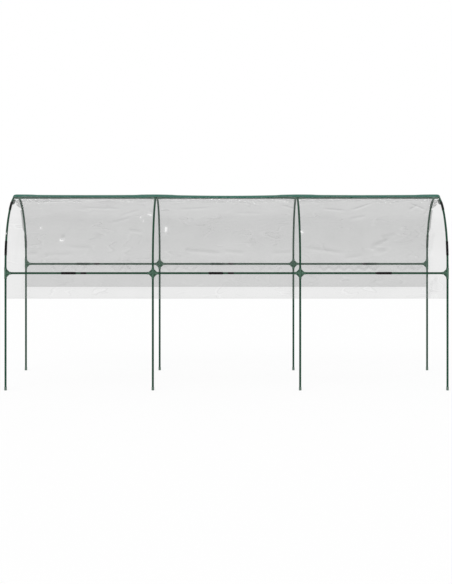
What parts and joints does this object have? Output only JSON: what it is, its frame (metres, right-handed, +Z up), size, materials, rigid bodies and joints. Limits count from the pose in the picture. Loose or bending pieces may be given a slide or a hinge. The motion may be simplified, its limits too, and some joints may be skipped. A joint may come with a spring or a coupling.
{
  "type": "tunnel greenhouse",
  "caption": "Long tunnel greenhouse: round-topped hoops of slim steel tube joined by side rails and a ridge tube, under a clear film held with snap clips, open at the ends and low sides.",
  "frame": {"origin": "on the ground under the middle of the tunnel", "axes": "+X along the ridge, +Y across the tunnel towards its rear side, +Z up"},
  "size_m": [4.0254, 1.2256, 1.7624],
  "materials": {
    "coated_steel": "satin",
    "moulded_green": "satin",
    "foot_plastic": "satin",
    "black_plastic": "satin",
    "clear_film": "gloss"
  },
  "bodies": {
    "frame": {"foot_front_1": "foot_plastic", "foot_front_2": "foot_plastic", "foot_front_3": "foot_plastic", "foot_front_4": "foot_plastic", "foot_rear_1": "foot_plastic", "foot_rear_2": "foot_plastic", "foot_rear_3": "foot_plastic", "foot_rear_4": "foot_plastic", "leg_front_1": "coated_steel", "leg_front_2": "coated_steel", "leg_front_3": "coated_steel", "leg_front_4": "coated_steel", "leg_rear_1": "coated_steel", "leg_rear_2": "coated_steel", "leg_rear_3": "coated_steel", "leg_rear_4": "coated_steel", "arch_front_1": "coated_steel", "arch_front_2": "coated_steel", "arch_front_3": "coated_steel", "arch_front_4": "coated_steel", "arch_rear_1": "coated_steel", "arch_rear_2": "coated_steel", "arch_rear_3": "coated_steel", "arch_rear_4": "coated_steel", "rail_front_1": "coated_steel", "rail_front_2": "coated_steel", "rail_front_3": "coated_steel", "rail_rear_1": "coated_steel", "rail_rear_2": "coated_steel", "rail_rear_3": "coated_steel", "ridge_tube_1": "coated_steel", "ridge_tube_2": "coated_steel", "ridge_tube_3": "coated_steel", "rail_joint_front_1": "moulded_green", "rail_joint_front_2": "moulded_green", "rail_joint_front_3": "moulded_green", "rail_joint_front_4": "moulded_green", "rail_joint_rear_1": "moulded_green", "rail_joint_rear_2": "moulded_green", "rail_joint_rear_3": "moulded_green", "rail_joint_rear_4": "moulded_green", "ridge_joint_1": "moulded_green", "ridge_joint_2": "moulded_green", "ridge_joint_3": "moulded_green", "ridge_joint_4": "moulded_green", "cover": "clear_film"},
    "front_rail_clip_1": {"rail_clip_front_1": "black_plastic"},
    "front_rail_clip_2": {"rail_clip_front_2": "black_plastic"},
    "front_rail_clip_3": {"rail_clip_front_3": "black_plastic"},
    "rear_rail_clip_1": {"rail_clip_rear_1": "black_plastic"},
    "rear_rail_clip_2": {"rail_clip_rear_2": "black_plastic"},
    "rear_rail_clip_3": {"rail_clip_rear_3": "black_plastic"},
    "front_left_low_clip": {"hoop_clip_front_left_low": "black_plastic"},
    "front_left_high_clip": {"hoop_clip_front_left_high": "black_plastic"},
    "front_right_low_clip": {"hoop_clip_front_right_low": "black_plastic"},
    "front_right_high_clip": {"hoop_clip_front_right_high": "black_plastic"},
    "rear_left_low_clip": {"hoop_clip_rear_left_low": "black_plastic"},
    "rear_left_high_clip": {"hoop_clip_rear_left_high": "black_plastic"},
    "rear_right_low_clip": {"hoop_clip_rear_right_low": "black_plastic"},
    "rear_right_high_clip": {"hoop_clip_rear_right_high": "black_plastic"}
  },
  "joints": [
    {"name": "front_rail_clip_1_off", "type": "slide", "parent": "frame", "child": "front_rail_clip_1", "axis": [0, -1, 0], "range_m": [0, 0.03]},
    {"name": "front_rail_clip_2_off", "type": "slide", "parent": "frame", "child": "front_rail_clip_2", "axis": [0, -1, 0], "range_m": [0, 0.03]},
    {"name": "front_rail_clip_3_off", "type": "slide", "parent": "frame", "child": "front_rail_clip_3", "axis": [0, -1, 0], "range_m": [0, 0.03]},
    {"name": "rear_rail_clip_1_off", "type": "slide", "parent": "frame", "child": "rear_rail_clip_1", "axis": [0, 1, 0], "range_m": [0, 0.03]},
    {"name": "rear_rail_clip_2_off", "type": "slide", "parent": "frame", "child": "rear_rail_clip_2", "axis": [0, 1, 0], "range_m": [0, 0.03]},
    {"name": "rear_rail_clip_3_off", "type": "slide", "parent": "frame", "child": "rear_rail_clip_3", "axis": [0, 1, 0], "range_m": [0, 0.03]},
    {"name": "front_left_low_clip_off", "type": "slide", "parent": "frame", "child": "front_left_low_clip", "axis": [0, -0.9744, 0.225], "range_m": [0, 0.03]},
    {"name": "front_left_high_clip_off", "type": "slide", "parent": "frame", "child": "front_left_high_clip", "axis": [0, -0.5225, 0.8526], "range_m": [0, 0.03]},
    {"name": "front_right_low_clip_off", "type": "slide", "parent": "frame", "child": "front_right_low_clip", "axis": [0, -0.9744, 0.225], "range_m": [0, 0.03]},
    {"name": "front_right_high_clip_off", "type": "slide", "parent": "frame", "child": "front_right_high_clip", "axis": [0, -0.5225, 0.8526], "range_m": [0, 0.03]},
    {"name": "rear_left_low_clip_off", "type": "slide", "parent": "frame", "child": "rear_left_low_clip", "axis": [0, 0.9744, 0.225], "range_m": [0, 0.03]},
    {"name": "rear_left_high_clip_off", "type": "slide", "parent": "frame", "child": "rear_left_high_clip", "axis": [0, 0.5225, 0.8526], "range_m": [0, 0.03]},
    {"name": "rear_right_low_clip_off", "type": "slide", "parent": "frame", "child": "rear_right_low_clip", "axis": [0, 0.9744, 0.225], "range_m": [0, 0.03]},
    {"name": "rear_right_high_clip_off", "type": "slide", "parent": "frame", "child": "rear_right_high_clip", "axis": [0, 0.5225, 0.8526], "range_m": [0, 0.03]}
  ]
}
